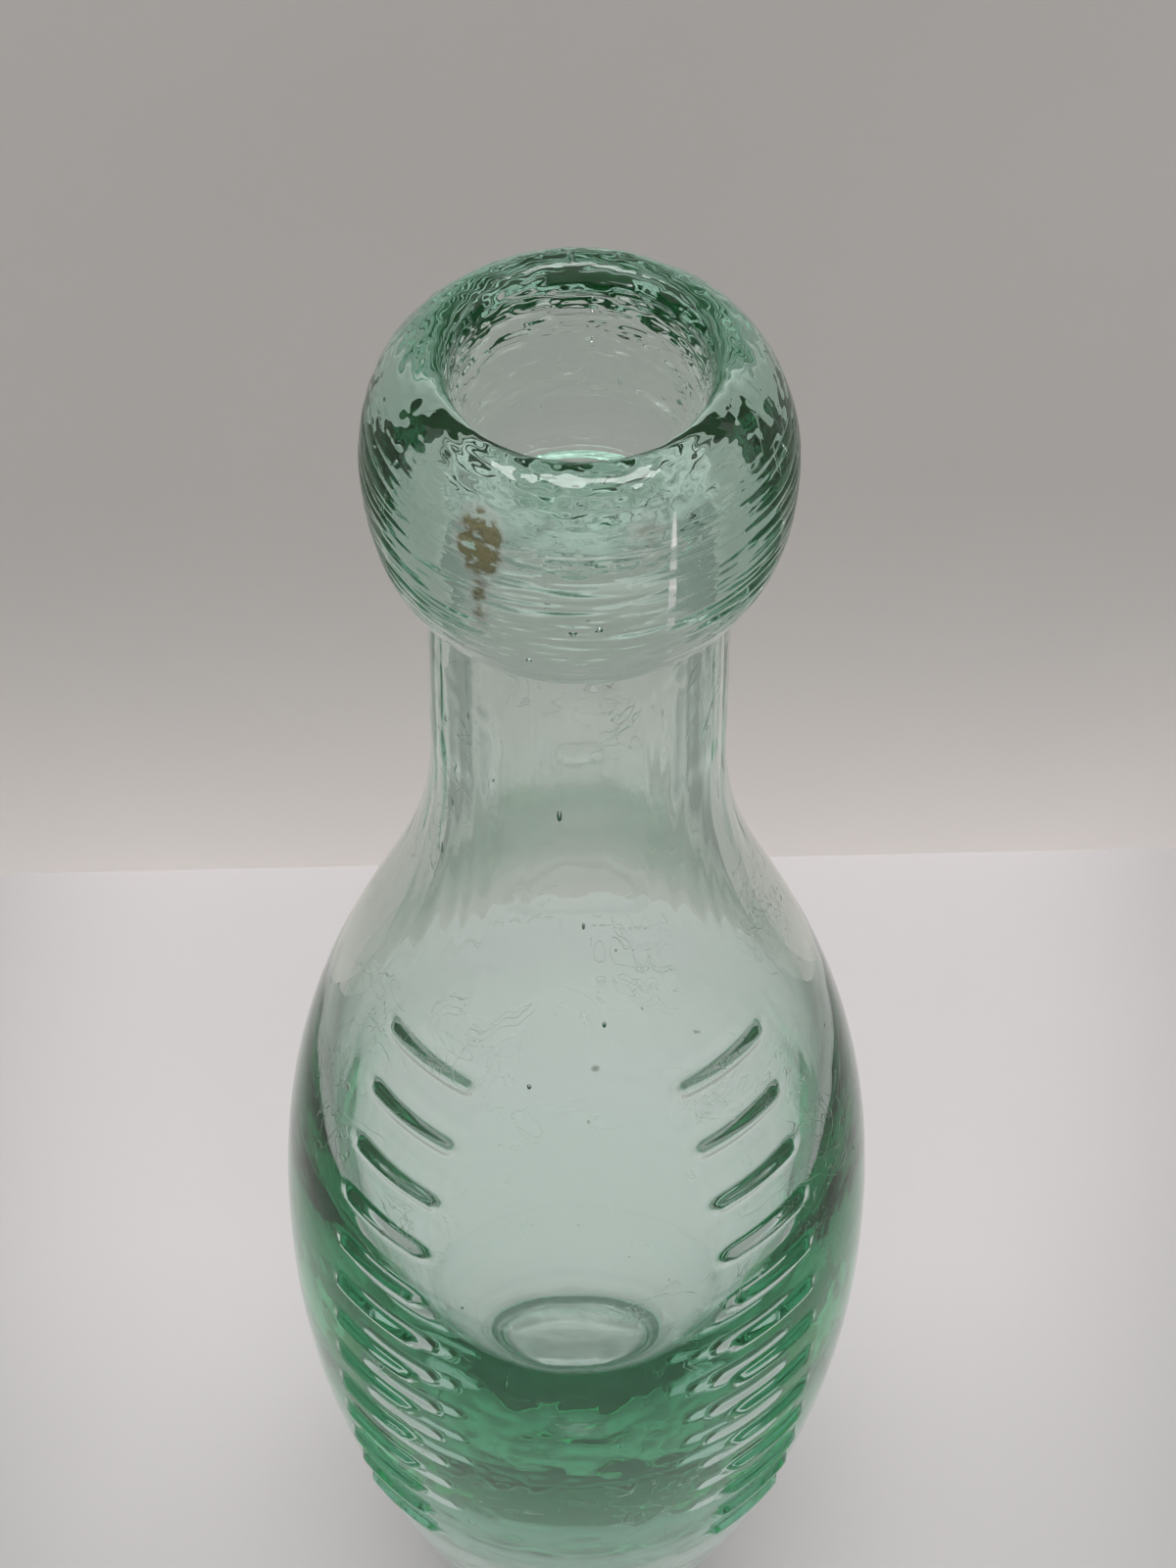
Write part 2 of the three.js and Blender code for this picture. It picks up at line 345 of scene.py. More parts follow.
def ripple(angle, along, around, tall, seed):
    """Smooth noise from -1 to 1 that closes round the bottle, by the cells round it and their height."""
    rows = int(np.max(along) / tall) + 3
    grid = np.random.default_rng(seed).uniform(-1, 1, (rows, around))
    u = (angle / (2 * math.pi) * around) % around
    v = np.maximum(along / tall, 0)
    column = u.astype(int) % around
    row = v.astype(int)
    fu = u - np.floor(u)
    fv = v - row
    fu = fu * fu * (3 - 2 * fu)
    fv = fv * fv * (3 - 2 * fv)
    beside = (column + 1) % around
    low = grid[row, column] * (1 - fu) + grid[row, beside] * fu
    high = grid[row + 1, column] * (1 - fu) + grid[row + 1, beside] * fu
    return low * (1 - fv) + high * fv


def uneven(angle, along, kind):
    """Unevenness of one kind, up and down by its depth."""
    depth, around, tall, seed = kind
    return depth * ripple(angle, along, around, tall, seed)


def above(angle, along, kind):
    """How far a noise is above the level of its kind, and 0 where it is below."""
    level, around, tall, seed = kind
    return np.clip(ripple(angle, along, around, tall, seed) - level, 0, 1)


def raised_bars(angle, radius, height):
    """Height of the rounded bars, mirrored left and right of the front."""
    turn = (angle + math.pi) % (2 * math.pi) - math.pi
    aside = np.maximum(np.abs(np.abs(turn) - BAR_MIDDLE) * radius - BAR_HALF_LENGTH, 0)
    total = np.zeros_like(height)
    for k in range(BAR_COUNT):
        reach = np.hypot(aside, height - BAR_FIRST_Z - k * BAR_PITCH) / BAR_HALF_WIDTH
        total += BAR_HEIGHT * np.clip(1 - reach ** 2, 0, 1) ** 2
    return total


def body_outside(angle, radius, height):
    """The mould-blown skin: slow swells, a hammered look towards the foot, streaks along the neck."""
    settled = ramp(height, *SKIN_FOOT) * ramp(height, *SKIN_TOP)
    neck = ramp(height, *OUTER_NECK) * ramp(height, *OUTER_NECK_TOP)
    swell = uneven(angle, height, OUTER_SWELL)
    gain = 1 + OUTER_HAMMER_GAIN * ramp(height, *OUTER_HAMMER_FADE)
    hammered = gain * uneven(angle, height, OUTER_HAMMER)
    streaks = uneven(angle, height, OUTER_STREAKS) + uneven(angle, height, OUTER_HAIRS)
    return settled * (swell + hammered) + neck * streaks + raised_bars(angle, radius, height)


def body_inside(angle, radius, height):
    """The blown hollow: uneven walls, ripples above the thick base, streaks and rings in the neck."""
    settled = ramp(height, *INNER_TOP) * ramp(radius, *INNER_FLOOR_RADII)
    neck = ramp(height, *INNER_NECK_FADE)
    swell = (1 + INNER_SWELL_GAIN * neck) * uneven(angle, height, INNER_SWELL)
    ripples = ramp(height, *INNER_LOW) * uneven(angle, height, INNER_RIPPLES)
    streaks = neck * uneven(angle, height, INNER_STREAKS)
    rings = ramp(height, *INNER_RINGS_FADE) * uneven(angle, height, INNER_RINGS)
    return settled * (swell + ripples + streaks + rings)


def crest_dimples(angle, along):
    """Small dents of the crest, by the way along the lip's outline."""
    return uneven(angle, along, CREST_DENTS) + uneven(angle, along, CREST_SPECKS)


def lip_outside(angle, radius, height):
    """Tooling lines that run round the lip and break off, some of them slanting, and a dented crest."""
    settled = ramp(height, *LIP_FOOT)
    belly = settled * ramp(height, *LIP_BELLY_TOP)
    wander = height - LIP_EDGE_Z + LIP_WANDER_START + uneven(angle, height, LIP_WANDER)
    slanting = wander + SLANT_RISE * np.sin(angle + SLANT_TURN)
    grooves = above(angle, slanting, SLANT_LINES)
    for lines in (SHORT_LINES, LONG_LINES, DASH_LINES):
        grooves += above(angle, wander, lines)
    lumps = uneven(angle, height, LIP_LUMPS)
    dimples = crest_dimples(angle, height - LIP_EDGE_Z + LIP_RADIUS - radius)
    return settled * lumps + ramp(height, *LIP_CREST) * dimples - GROOVE_DEPTH * belly * grooves


def lip_bore(angle, radius, height):
    """The bore as the tool left it: short level ripples, deepest just under the mouth, and a broken ridge
    at its foot where the gather was pressed over the cut rim. The crest's lumps and dents run on over
    its edge."""
    settled = ramp(height, *BORE_FOOT) * ramp(height, *BORE_TOP)
    wander = height - BORE_FOOT_Z + BORE_WANDER_START + uneven(angle, height, BORE_WANDER)
    gain = 1 + BORE_RIPPLES_GAIN * ramp(height, *BORE_UPPER)
    ripples = gain * uneven(angle, wander, BORE_RIPPLES) + uneven(angle, wander, BORE_FINE_RIPPLES)
    ridge = ramp(np.abs(height - BORE_FOOT_Z - RIDGE_LIFT), RIDGE_REACH, 0)
    ridge *= RIDGE_HEIGHT * above(angle, height, RIDGE_BREAKS)
    lumps = uneven(angle, height, BORE_LUMPS)
    dimples = crest_dimples(angle, 2 * CREST_Z - LIP_EDGE_Z - height + LIP_RADIUS - radius)
    over_edge = ramp(height, *BORE_RIM) * (dimples + uneven(angle, height, LIP_LUMPS))
    return settled * (ripples + lumps + ridge) + over_edge


def still(angle, radius, height):
    """No unevenness."""
    return np.zeros_like(height)


def body_stretches():
    """Outline from the middle of the pushed-up base, up the outside, over the cut rim and down to the
    inner floor, as stretches with the unevenness of each and whether it is a seam."""
    foot = (KICK_RADIUS, 0)
    heel_foot = (BASE_RADIUS, 0)
    heel = (HEEL_RADIUS, HEEL_RISE)
    widest = (BARREL_RADIUS, BARREL_RISE)
    neck_foot = (NECK_FOOT_RADIUS, NECK_FOOT_Z)
    under_lip = (NECK_RADIUS, LIP_EDGE_Z)
    rim_outside = (NECK_RADIUS, NECK_RIM_Z)
    rim_inside = (INNER_NECK, NECK_RIM_Z)
    inner_foot = (INNER_NECK_FOOT, NECK_FOOT_Z)
    inner_widest = (HOLLOW_RADIUS, HOLLOW_WIDEST_Z)
    floor_side = (FLOOR_SIDE_RADIUS, FLOOR_CORNER_Z)
    floor_rim = (FLOOR_RADIUS, FLOOR_Z)
    kick = sweep(
        (0, KICK_HEIGHT),
        (KICK_CROWN, KICK_HEIGHT),
        (KICK_RADIUS - KICK_DRAFT, KICK_STEEP),
        foot,
        KICK_STEPS,
    )
    barrel = sweep(
        heel,
        (HEEL_RADIUS + TAPER_LEAN, HEEL_RISE + TAPER_SWEEP),
        (BARREL_RADIUS, BARREL_RISE - TAPER_FULLNESS),
        widest,
        BARREL_STEPS,
    )
    shoulder = sweep(
        widest,
        (BARREL_RADIUS, BARREL_RISE + SHOULDER_FULLNESS),
        (NECK_FOOT_RADIUS, NECK_FOOT_Z - SHOULDER_SWEEP),
        neck_foot,
        SHOULDER_STEPS,
    )
    inner_shoulder = sweep(
        inner_foot,
        (INNER_NECK_FOOT, NECK_FOOT_Z - HOLLOW_SHOULDER_SWEEP),
        (HOLLOW_RADIUS, HOLLOW_WIDEST_Z + HOLLOW_SHOULDER_FULLNESS),
        inner_widest,
        INNER_SHOULDER_STEPS,
    )
    inner_barrel = sweep(
        inner_widest,
        (HOLLOW_RADIUS, HOLLOW_WIDEST_Z - HOLLOW_FULLNESS),
        (FLOOR_SIDE_RADIUS + HOLLOW_FOOT_LEAN, FLOOR_CORNER_Z + HOLLOW_FOOT_SWEEP),
        floor_side,
        INNER_BARREL_STEPS,
    )
    floor_corner = (FLOOR_SIDE_RADIUS - FLOOR_CORNER_SLANT, FLOOR_Z)
    return [
        (kick, still, False),
        (straight(foot, heel_foot, FOOT_RING_STEPS), still, False),
        (corner(heel_foot, (HEEL_RADIUS, 0), heel, HEEL_STEPS), body_outside, False),
        (barrel, body_outside, False),
        (shoulder, body_outside, False),
        (straight(neck_foot, under_lip, NECK_STEPS), body_outside, False),
        (straight(under_lip, rim_outside, COVERED_STEPS), still, True),
        (straight(rim_outside, rim_inside, RIM_STEPS), still, True),
        (straight(rim_inside, inner_foot, INNER_NECK_STEPS), body_inside, False),
        (inner_shoulder, body_inside, False),
        (inner_barrel, body_inside, False),
        (corner(floor_side, floor_corner, floor_rim, FLOOR_CORNER_STEPS), body_inside, False),
        (straight(floor_rim, (0, FLOOR_Z), FLOOR_STEPS), body_inside, False),
    ]


def lip_stretches():
    """Closed outline of the lip, from its lower edge over the belly and crest and down the bore."""
    socket = (NECK_RADIUS + SEAM, LIP_EDGE_Z)
    socket_outside = (NECK_RADIUS + SEAM, NECK_RIM_Z + SEAM)
    socket_inside = (INNER_NECK, NECK_RIM_Z + SEAM)
    edge = (LIP_EDGE_RADIUS, LIP_EDGE_Z + LIP_EDGE_ROUNDING)
    lower_middle = (LIP_LOWER_MIDDLE, LIP_BELLY_Z)
    upper_middle = (CREST_RADIUS, LIP_BELLY_Z)
    crest = (CREST_RADIUS, CREST_Z)
    mouth = (MOUTH_RADIUS, MOUTH_Z)
    bore_foot = (BORE_RADIUS, BORE_FOOT_Z)
    rise = CREST_Z - LIP_BELLY_Z
    lower = arc(lower_middle, LIP_RADIUS - LIP_LOWER_MIDDLE, rise, LIP_LOWER_BEGIN, 0, LIP_ARC_STEPS)
    upper = arc(upper_middle, LIP_RADIUS - CREST_RADIUS, rise, 0, 90, LIP_ARC_STEPS)
    return [
        (straight(socket, edge, LIP_EDGE_STEPS), still, False),
        (lower, lip_outside, False),
        (upper, lip_outside, False),
        (corner(crest, (MOUTH_RADIUS, CREST_Z), mouth, MOUTH_STEPS), lip_bore, False),
        (straight(mouth, bore_foot, BORE_STEPS), lip_bore, False),
        (straight(bore_foot, socket_inside, LIP_EDGE_STEPS), still, False),
        (straight(socket_inside, socket_outside, RIM_STEPS), still, True),
        (straight(socket_outside, socket, COVERED_STEPS), still, True),
    ]


def joined(stretches, closed):
    """One outline from stretches that meet end to end: its points, the unevenness at each, the seam flag
    of each step, and the numbers of the points where the outline has a hard corner."""
    points = []
    shapes = []
    seams = []
    hard = set()
    for outline, shape, seam in stretches:
        part = outline if not points else outline[1:]
        if seam:
            hard.update((len(points) - 1, len(points) - 1 + len(part)))
        points += list(part)
        shapes += [shape] * len(part)
        seams += [seam] * (len(outline) - 1)
    if closed:
        points.pop()
        shapes.pop()
        hard = {ring % len(points) for ring in hard}
    return np.array(points), shapes, seams, hard


def revolved(stretches, sides, closed):
    """An outline turned round +Z: its vertices, faces, seam flag of each face and rings of hard edges."""
    points, shapes, seams, hard = joined(stretches, closed)
    count = len(points)
    turns = 2 * math.pi * np.arange(sides) / sides
    before = points[np.arange(count) - 1] if closed else np.vstack([points[:1], points[:-1]])
    after = points[(np.arange(count) + 1) % count] if closed else np.vstack([points[1:], points[-1:]])
    along = after - before
    along /= np.linalg.norm(along, axis=1)[:, None]
    vertices = []
    for ring, (radius, height) in enumerate(points):
        if radius < AXIS_RADIUS:
            vertices.append(np.array([[0, 0, height]]))
            continue
        level = np.full(sides, height)
        push = shapes[ring](turns, np.full(sides, radius), level)
        if ring in hard:
            push = np.zeros(sides)
        r = radius + along[ring][1] * push
        z = level - along[ring][0] * push
        vertices.append(np.stack([r * np.sin(turns), -r * np.cos(turns), z], axis=1))
    starts = np.cumsum([0] + [len(block) for block in vertices])
    k = np.arange(sides)
    n = (k + 1) % sides
    faces = []
    flags = []
    for ring in range(count if closed else count - 1):
        following = (ring + 1) % count
        lower = starts[ring]
        upper = starts[following]
        if len(vertices[ring]) == 1:
            block = np.stack([np.full(sides, lower), upper + n, upper + k], axis=1)
        elif len(vertices[following]) == 1:
            block = np.stack([lower + k, lower + n, np.full(sides, upper)], axis=1)
        else:
            block = np.stack([lower + k, lower + n, upper + n, upper + k], axis=1)
        faces += block.tolist()
        flags += [1.0 if seams[ring] else 0.0] * sides
    hard_rings = [(starts[ring], starts[ring] + sides) for ring in sorted(hard)]
    return np.vstack(vertices), faces, flags, hard_rings


def seed_bubble(middle, radii, first):
    """A small hollow with its skin facing inwards, as vertices and faces that start at index first."""
    vertices = [(middle[0], middle[1], middle[2] - radii[2])]
    for level in range(1, SEED_LEVELS):
        tilt = math.pi * level / SEED_LEVELS
        for k in range(SEED_SIDES):
            turn = 2 * math.pi * k / SEED_SIDES
            vertices.append((
                middle[0] + radii[0] * math.sin(tilt) * math.cos(turn),
                middle[1] + radii[1] * math.sin(tilt) * math.sin(turn),
                middle[2] - radii[2] * math.cos(tilt),
            ))
    vertices.append((middle[0], middle[1], middle[2] + radii[2]))
    top = first + len(vertices) - 1
    last = first + 1 + (SEED_LEVELS - 2) * SEED_SIDES
    faces = []
    for k in range(SEED_SIDES):
        n = (k + 1) % SEED_SIDES
        faces.append((first, first + 1 + k, first + 1 + n))
        for level in range(SEED_LEVELS - 2):
            low = first + 1 + level * SEED_SIDES
            faces.append((low + k, low + SEED_SIDES + k, low + SEED_SIDES + n, low + n))
        faces.append((last + k, top, last + n))
    return vertices, faces


def wall_at(height):
    """Radius half way through the body's wall, and half the wall, at a height."""
    stretches = body_stretches()
    outside = np.vstack([outline for outline, shape, seam in stretches[2:6]])
    inside = np.vstack([outline for outline, shape, seam in stretches[8:12]])[::-1]
    outer = np.interp(height, outside[:, 1], outside[:, 0])
    inner = np.interp(height, inside[:, 1], inside[:, 0])
    return (outer + inner) / 2, (outer - inner) / 2


def round_axis(radius, turn, height):
    """A point by its distance from the axis, its turn from the front and its height."""
    return radius * math.sin(turn), -radius * math.cos(turn), height


def body_seeds():
    """Seeds in the neck are drawn out upwards, those in the barrel and the base stay nearly round."""
    draw = np.random.default_rng(5)
    seeds = []
    for _ in range(WALL_SEEDS):
        height = draw.uniform(*WALL_SEED_Z)
        middle, half = wall_at(height)
        turn = draw.uniform(-math.pi, math.pi)
        radius = middle + draw.uniform(-WALL_SEED_DEPTH, WALL_SEED_DEPTH) * half
        size = draw.uniform(*WALL_SEED_SIZE)
        tall = WALL_SEED_TALL + NECK_SEED_TALLER * float(ramp(np.array(height), *NECK_SEED_FADE))
        seeds.append((round_axis(radius, turn, height), (size, size, size * tall)))
    for _ in range(BASE_SEEDS):
        turn = draw.uniform(-math.pi, math.pi)
        radius = BASE_SEED_RADIUS * math.sqrt(draw.uniform(*BASE_SEED_SPREAD))
        size = draw.uniform(*BASE_SEED_SIZE)
        height = draw.uniform(*BASE_SEED_Z)
        wide = size * BASE_SEED_WIDE
        seeds.append((round_axis(radius, turn, height), (wide, wide, size)))
    return seeds


def lip_seeds():
    """Seeds all round the lip, and the few large ones low on its front."""
    draw = np.random.default_rng(6)
    seeds = []
    for _ in range(LIP_SEEDS):
        turn = draw.uniform(-math.pi, math.pi)
        height = draw.uniform(*LIP_SEED_Z)
        radius = draw.uniform(*LIP_SEED_RADIUS)
        size = draw.uniform(*LIP_SEED_SIZE)
        wide = size * LIP_SEED_WIDE
        seeds.append((round_axis(radius, turn, height), (wide, wide, size)))
    for turn, height, size in FRONT_SEEDS:
        seeds.append((round_axis(FRONT_SEED_RADIUS, turn, height), (size, size, size)))
    return seeds


def glass_piece(name, node, outline, seeds, material):
    """One closed glass mesh that stands for a CAD node, with its seeds inside."""
    vertices, faces, flags, hard_rings = outline
    vertices = vertices.tolist()
    for middle, radii in seeds:
        more, skin = seed_bubble(middle, radii, len(vertices))
        vertices += more
        faces += skin
        flags += [0.0] * len(skin)
    mesh = bpy.data.meshes.new(name)
    mesh.from_pydata((np.array(vertices) * MM).tolist(), [], faces)
    mesh.polygons.foreach_set("use_smooth", [True] * len(mesh.polygons))
    mesh.attributes.new("seam", "FLOAT", "FACE").data.foreach_set("value", flags)
    ends = np.empty(2 * len(mesh.edges), dtype=np.int32)
    mesh.edges.foreach_get("vertices", ends)
    ends = ends.reshape(-1, 2)
    sharp = np.zeros(len(ends), dtype=bool)
    for start, stop in hard_rings:
        sharp |= ((ends >= start) & (ends < stop)).all(axis=1)
    mesh.attributes.new("sharp_edge", "BOOLEAN", "EDGE").data.foreach_set("value", sharp)
    mesh.materials.append(material)
    piece = bpy.data.objects.new(name, mesh)
    bpy.context.collection.objects.link(piece)
    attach(piece, "root")
    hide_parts(node)


class Nodes:
    """Short ways to add and join the nodes of one tree."""

    def __init__(self, tree):
        self.tree = tree

    def add(self, kind, **values):
        made = self.tree.nodes.new(kind)
        for key, value in values.items():
            if key in made.inputs:
                self.put(made.inputs[key], value)
            else:
                setattr(made, key, value)
        return made

    def put(self, socket, value):
        if isinstance(value, bpy.types.NodeSocket):
            self.tree.links.new(value, socket)
        else:
            socket.default_value = value

    def maths(self, operation, first, second=0.0):
        made = self.tree.nodes.new("ShaderNodeMath")
        made.operation = operation
        self.put(made.inputs[0], first)
        self.put(made.inputs[1], second)
        return made.outputs[0]

    def times(self, first, second):
        return self.maths("MULTIPLY", first, second)

    def most(self, first, second):
        return self.maths("MAXIMUM", first, second)

    def less(self, value):
        """What is left of 1."""
        return self.maths("SUBTRACT", 1.0, value)

    def span(self, value, low, high, to_low=0.0, to_high=1.0):
        made = self.add("ShaderNodeMapRange", interpolation_type="SMOOTHSTEP")
        for key, number in (("Value", value), ("From Min", low), ("From Max", high)):
            self.put(made.inputs[key], number)
        made.inputs["To Min"].default_value = to_low
        made.inputs["To Max"].default_value = to_high
        return made.outputs[0]

    def blend(self, share, first, second):
        made = self.add("ShaderNodeMix", data_type="RGBA")
        self.put(made.inputs[0], share)
        self.put(made.inputs[6], first)
        self.put(made.inputs[7], second)
        return made.outputs[2]

    def place(self):
        return self.add("ShaderNodeTexCoord").outputs["Object"]

    def stretched(self, scale):
        return self.add("ShaderNodeMapping", Vector=self.place(), Scale=scale).outputs[0]

    def noise(self, vector, scale=1.0, detail=2.0, distortion=0.0):
        made = self.add("ShaderNodeTexNoise", Vector=vector, Scale=scale, Detail=detail)
        made.inputs["Distortion"].default_value = distortion
        return made.outputs[0]

    def spot(self, middle, radii):
        """1 at a point in millimetres and 0 at the radii round it."""
        put = self.add("ShaderNodeMapping", vector_type="TEXTURE", Vector=self.place())
        put.inputs["Location"].default_value = [MM * value for value in middle]
        put.inputs["Scale"].default_value = [MM * value for value in radii]
        ball = self.add("ShaderNodeTexGradient", gradient_type="SPHERICAL", Vector=put.outputs[0])
        return ball.outputs[1]

    def hairlines(self, scale, width, patch, share):
        """Thin lines where a warped noise passes its middle value, kept in scattered patches only."""
        field = self.noise(self.place(), scale, detail=3.0, distortion=1.4)
        line = self.span(self.maths("ABSOLUTE", self.maths("SUBTRACT", field, 0.5)), width, 0.0)
        kept = self.span(self.noise(self.place(), patch, detail=1.0), share, share + PATCH_EDGE)
        return self.times(line, kept)

    def relief(self, shader, height, strength):
        bump = self.add("ShaderNodeBump", Height=height, Strength=strength, Distance=FINE_RELIEF)
        self.put(shader.inputs["Normal"], bump.outputs[0])


def clear_glass(name):
    """Aqua glass with its depth colour and the index that lets light pass the fused seam."""
    material = bpy.data.materials.new(name)
    material.use_nodes = True
    tree = Nodes(material.node_tree)
    shader = material.node_tree.nodes["Principled BSDF"]
    seam = tree.add("ShaderNodeAttribute", attribute_name="seam").outputs["Fac"]
    index = tree.add("ShaderNodeMapRange", Value=seam)
    index.inputs["To Min"].default_value = GLASS_IOR
    index.inputs["To Max"].default_value = SEAM_IOR
    tree.put(shader.inputs["IOR"], index.outputs[0])
    depth = tree.add("ShaderNodeVolumeAbsorption", Color=(*ABSORB_COLOUR, 1), Density=ABSORB_DENSITY)
    tree.put(material.node_tree.nodes["Material Output"].inputs["Volume"], depth.outputs[0])
    return material, tree, shader, tree.less(seam)


def body_glass():
    """Old blown glass: hairline scratches, pits and faint haze on a clear skin, and a thin film of lime
    on the inner floor."""
    material, tree, shader, clear = clear_glass("body_glass")
    long_scratches = tree.hairlines(scale=60, width=0.004, patch=45, share=0.60)
    short_scratches = tree.hairlines(scale=150, width=0.006, patch=80, share=0.62)
    cells = tree.add("ShaderNodeTexVoronoi", Vector=tree.place(), Scale=160.0)
    pit_patches = tree.span(tree.noise(tree.place(), scale=70, detail=1.0), 0.60, 0.66)
    pits = tree.times(tree.span(cells.outputs["Distance"], 0.09, 0.02), pit_patches)
    wear = tree.most(tree.most(long_scratches, short_scratches), pits)
    haze = tree.span(tree.noise(tree.stretched((60, 60, 34)), detail=4.0), 0.52, 0.86, 0.0, 0.05)
    rough = tree.maths("ADD", haze, tree.times(wear, BODY_WEAR_ROUGHNESS))
    tree.put(shader.inputs["Roughness"], tree.times(rough, clear))
    patchy = tree.span(tree.noise(tree.place(), scale=260, detail=4.0), 0.25, 0.75, 0.8, 1.0)
    film = tree.span(tree.spot((0, 0, FLOOR_Z), FILM_RADII), 0.06, 0.25, 0.0, FILM_WEIGHT)
    tree.put(shader.inputs["Transmission Weight"], tree.less(tree.times(film, patchy)))
    tree.put(shader.inputs["Base Color"], tree.blend(pits, WHITE, DUST_COLOUR))
    skin = tree.noise(tree.stretched((420, 420, 300)))
    tree.relief(shader, tree.maths("SUBTRACT", tree.times(skin, 0.22), wear), strength=0.25)
    return material


def lip_glass():
    """Tooled glass: fine turning lines, an iron stain on the front and a pale line at the lap."""
    material, tree, shader, clear = clear_glass("lip_glass")
    blotch = tree.span(tree.noise(tree.stretched((800, 800, 1500)), detail=6.0), 0.30, 0.66)
    rust = 0.0
    for middle, radii, edge, strength in STAIN_SPOTS:
        stain = tree.times(tree.span(tree.spot(middle, radii), *edge), blotch)
        rust = tree.most(rust, tree.times(stain, strength))
    dashes = tree.span(tree.noise(tree.stretched((90, 90, 420))), 0.44, 0.52)
    lap = tree.times(tree.span(tree.spot(LAP_MIDDLE, LAP_RADII), 0.12, 0.5), dashes)
    scratches = tree.hairlines(scale=120, width=0.006, patch=80, share=0.58)
    crust = tree.most(tree.times(rust, STAIN_WEIGHT), tree.times(lap, LAP_WEIGHT))
    tree.put(shader.inputs["Transmission Weight"], tree.less(crust))
    tint = tree.maths("MINIMUM", tree.times(rust, STAIN_TINT), 1.0)
    tree.put(shader.inputs["Base Color"], tree.blend(tint, WHITE, STAIN_COLOUR))
    rough = tree.most(tree.times(rust, STAIN_ROUGHNESS), tree.times(lap, LAP_ROUGHNESS))
    rough = tree.most(rough, tree.times(scratches, LIP_WEAR_ROUGHNESS))
    tree.put(shader.inputs["Roughness"], tree.times(rough, clear))
    turning = tree.noise(tree.stretched((110, 110, 2600)), detail=3.0)
    height = tree.maths("SUBTRACT", tree.times(turning, 0.5), tree.most(scratches, lap))
    tree.relief(shader, height, strength=0.3)
    return material


def painted_light_pool_share(tree, spot):
    """0 in the painted pool of light on the floor and 1 in the painted shade far from it."""
    far = 0.0
    for axis, middle, reach in zip("XY", LIGHT_POOL_MIDDLE, LIGHT_POOL_REACH):
        away = tree.maths("DIVIDE", tree.maths("SUBTRACT", spot.outputs[axis], middle), reach)
        far = tree.maths("ADD", far, tree.times(away, away))
    return tree.span(tree.maths("SQRT", far), *LIGHT_POOL_FADE)


def wall_painted_shade_share(tree, spot):
    """0 in the painted light at the foot of the wall and 1 in the painted shade higher up."""
    return tree.span(spot.outputs["Z"], *WALL_PAINTED_SHADE_HEIGHTS)


def paper(name, painted_lit_colour, painted_shaded_colour, painted_shade_share):
    """Matt paper whose tone goes from one colour to another by place, painting light and shade onto it; its
    back side lets light by.
    """
    material = bpy.data.materials.new(name)
    material.use_nodes = True
    tree = Nodes(material.node_tree)
    shader = material.node_tree.nodes["Principled BSDF"]
    shader.inputs["Roughness"].default_value = PAPER_ROUGHNESS
    shader.inputs["Specular IOR Level"].default_value = PAPER_SPECULAR
    spot = tree.add("ShaderNodeSeparateXYZ", Vector=tree.place())
    # The tone paints light and shade by place; only the mottle is the paper's own unevenness.
    tone = tree.blend(painted_shade_share(tree, spot), painted_lit_colour, painted_shaded_colour)
    mottle = tree.span(tree.noise(tree.place(), scale=9, detail=3.0), 0.2, 0.8, 0.97, 1.03)
    tinted = tree.add("ShaderNodeVectorMath", operation="SCALE")
    tree.put(tinted.inputs[0], tone)
    tree.put(tinted.inputs["Scale"], mottle)
    tree.put(shader.inputs["Base Color"], tinted.outputs[0])
    through = tree.add("ShaderNodeBsdfTransparent")
    either = tree.add("ShaderNodeMixShader")
    tree.put(either.inputs[0], tree.add("ShaderNodeNewGeometry").outputs["Backfacing"])
    tree.put(either.inputs[1], shader.outputs[0])
    tree.put(either.inputs[2], through.outputs[0])
    tree.put(material.node_tree.nodes["Material Output"].inputs["Surface"], either.outputs[0])
    return material


def sheet(name, corners, material):
    """One flat sheet of the stage."""
    mesh = bpy.data.meshes.new(name)
    mesh.from_pydata(corners, [], [(0, 1, 2, 3)])
    mesh.materials.append(material)
    made = bpy.data.objects.new(name, mesh)
    bpy.context.collection.objects.link(made)
    return made


def backdrop():
    """A sheet of floor with a painted pool of light round the bottle and painted grey shade far from it,
    and a pale wall behind the bottle with painted shade higher up.
    """
    side = FLOOR_HALF
    floor_corners = [(-side, -side, 0), (side, -side, 0), (side, side, 0), (-side, side, 0)]
    # The floor's tone is a painted pool of light round the bottle and painted shade far off.
    sheet("floor", floor_corners, paper("floor_paper_painted_light", FLOOR_PAINTED_LIGHT, FLOOR_PAINTED_SHADE, painted_light_pool_share))
    wide = WALL_HALF
    wall_corners = [(-wide, 0, 0), (wide, 0, 0), (wide, 0, WALL_HEIGHT), (-wide, 0, WALL_HEIGHT)]
    # The wall's tone is painted light at its foot and painted shade higher up.
    wall = sheet("wall", wall_corners, paper("wall_paper_painted_shade", WALL_PAINTED_LIGHT, WALL_PAINTED_SHADE, wall_painted_shade_share))
    wall.location = WALL_PLACE
    wall.rotation_euler = (0, 0, WALL_TURN)


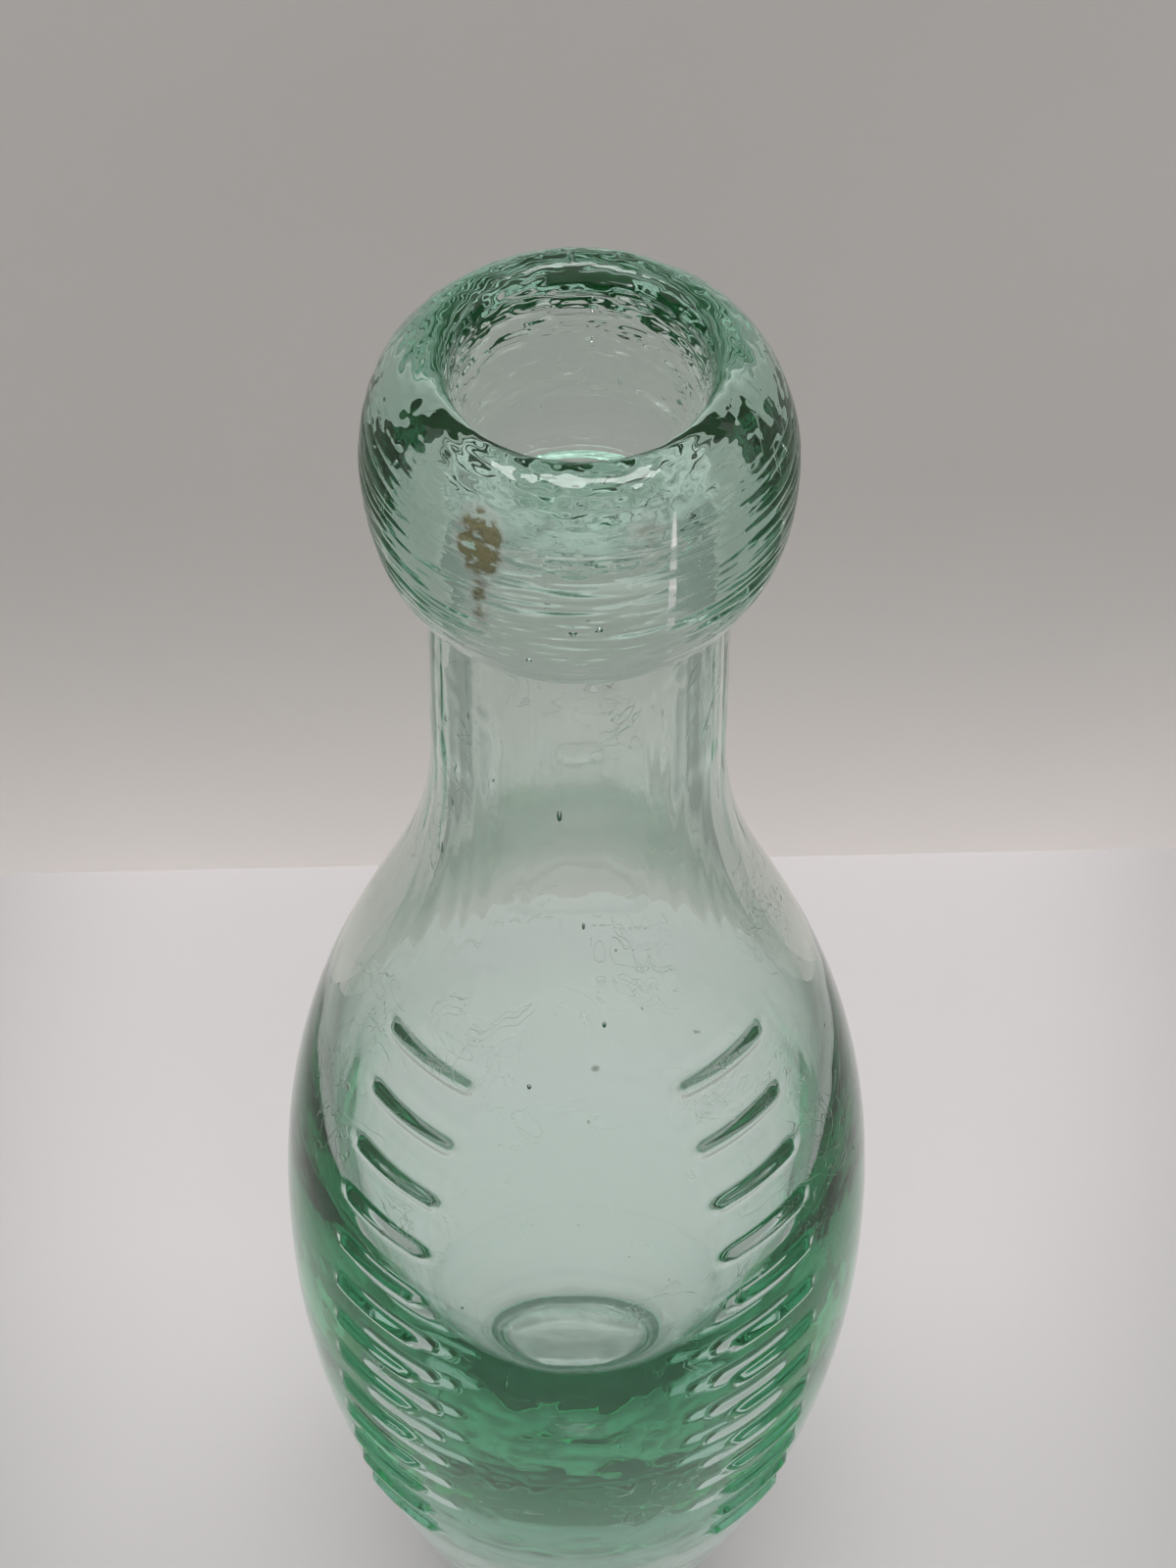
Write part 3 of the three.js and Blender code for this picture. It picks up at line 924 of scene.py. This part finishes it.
def overhead_lamp():
    """A softbox above the bottle."""
    light = bpy.data.lights.new("overhead", "AREA")
    light.shape = "RECTANGLE"
    light.size, light.size_y = LAMP_SIZE
    light.energy = LAMP_WATTS
    lamp = bpy.data.objects.new("overhead", light)
    lamp.location = LAMP_PLACE
    lamp.rotation_euler = (Vector(LAMP_TARGET) - Vector(LAMP_PLACE)).to_track_quat("-Z", "Y").to_euler()
    bpy.context.collection.objects.link(lamp)


def room_light():
    """Even daylight from all round, brightest overhead and a little lower from the viewer's side."""
    world = bpy.data.worlds.new("room")
    bpy.context.scene.world = world
    world.use_nodes = True
    tree = Nodes(world.node_tree)
    background = world.node_tree.nodes["Background"]
    direction = tree.add("ShaderNodeTexCoord").outputs["Generated"]
    facing = tree.add("ShaderNodeSeparateXYZ", Vector=direction)
    around = tree.span(facing.outputs["Y"], *FRONT_TO_BACK, FRONT_LIGHT, BACK_LIGHT)
    level = tree.add("ShaderNodeMix", data_type="FLOAT")
    tree.put(level.inputs[0], tree.span(facing.outputs["Z"], *LEVEL_TO_TOP))
    tree.put(level.inputs[2], around)
    level.inputs[3].default_value = TOP_LIGHT
    tree.put(background.inputs["Strength"], level.outputs[0])
    background.inputs["Color"].default_value = DAYLIGHT


def viewpoint():
    """The camera at the photograph's place: above and in front, looking steeply down, a hair askew."""
    lens = bpy.data.cameras.new("camera")
    lens.lens = LENS
    lens.sensor_width = SENSOR
    camera = bpy.data.objects.new("camera", lens)
    tilt = Matrix.Rotation(CAMERA_TILT, 4, "X")
    roll = Matrix.Rotation(CAMERA_ROLL, 4, "Z")
    camera.matrix_world = Matrix.Translation(CAMERA_PLACE) @ tilt @ roll
    bpy.context.collection.objects.link(camera)
    bpy.context.scene.camera = camera


scene = bpy.context.scene
scene.view_settings.view_transform = "Standard"
scene.cycles.max_bounces = BOUNCES
scene.cycles.transmission_bounces = BOUNCES
scene.cycles.glossy_bounces = BOUNCES

viewpoint()
backdrop()
room_light()
overhead_lamp()

body_outline = revolved(body_stretches(), BODY_SIDES, closed=False)
glass_piece("blown_body_glass", "blown_body", body_outline, body_seeds(), body_glass())
lip_outline = revolved(lip_stretches(), LIP_SIDES, closed=True)
glass_piece("applied_lip_glass", "applied_lip", lip_outline, lip_seeds(), lip_glass())
